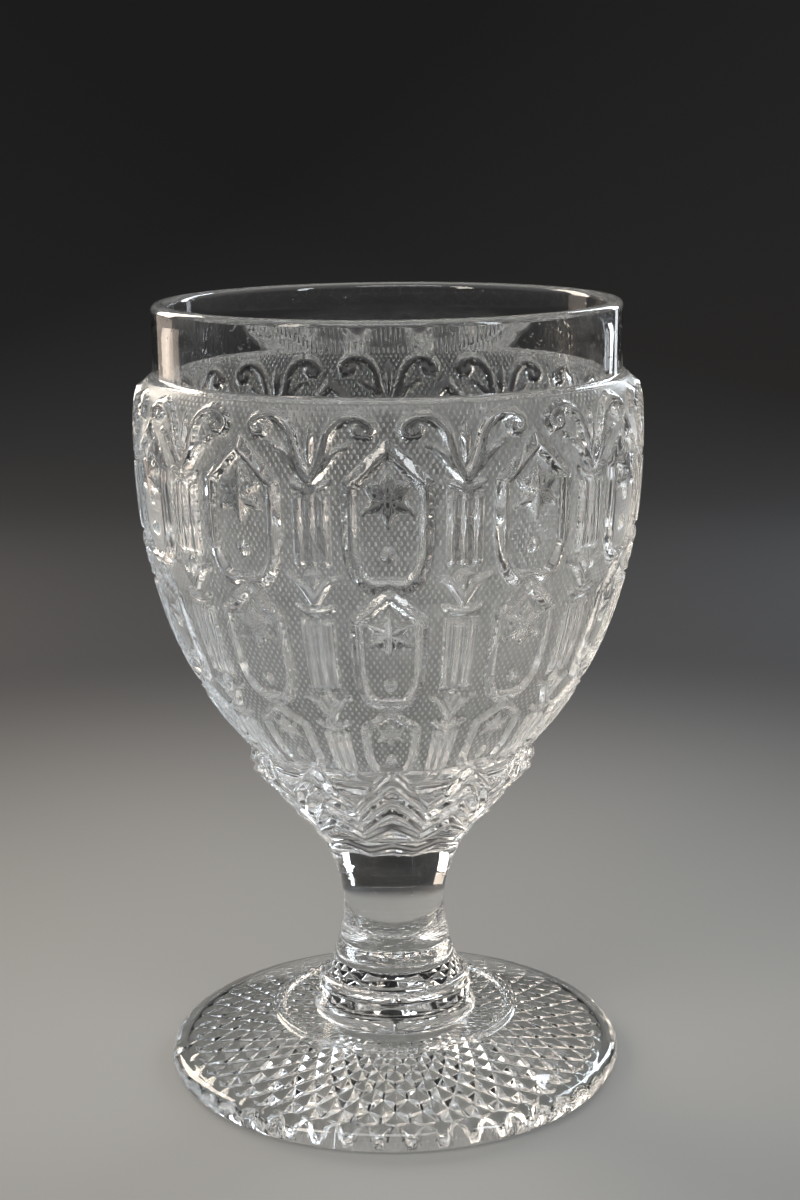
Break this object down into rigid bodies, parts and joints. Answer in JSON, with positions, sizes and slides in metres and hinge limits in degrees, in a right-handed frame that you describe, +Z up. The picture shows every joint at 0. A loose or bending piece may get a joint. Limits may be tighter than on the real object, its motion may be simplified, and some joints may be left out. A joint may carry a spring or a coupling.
{
  "type": "pressed crystal goblet",
  "caption": "Clear pressed crystal goblet: round foot with a diamond underside, joining wafer, waisted stem and a deep bowl with framed panels, reeded columns, scrolls and a plain rim.",
  "frame": {"origin": "on the table under the middle of the foot", "axes": "+Z up the axis of the glass to the rim, -Y towards the viewer through the middle of a panel, +X to the viewer's right"},
  "size_m": [0.0954, 0.0953, 0.15],
  "materials": {
    "foot_crystal": "fire-polished clear, pressed diamonds underneath",
    "wafer_crystal": "fire-polished clear",
    "stem_crystal": "fire-polished clear",
    "bowl_crystal": "clear, with a pressed pattern on a stippled ground outside and a smooth inside"
  },
  "bodies": {
    "root": {"foot": "foot_crystal", "joining_wafer": "wafer_crystal", "stem": "stem_crystal", "bowl": "bowl_crystal"}
  },
  "joints": []
}
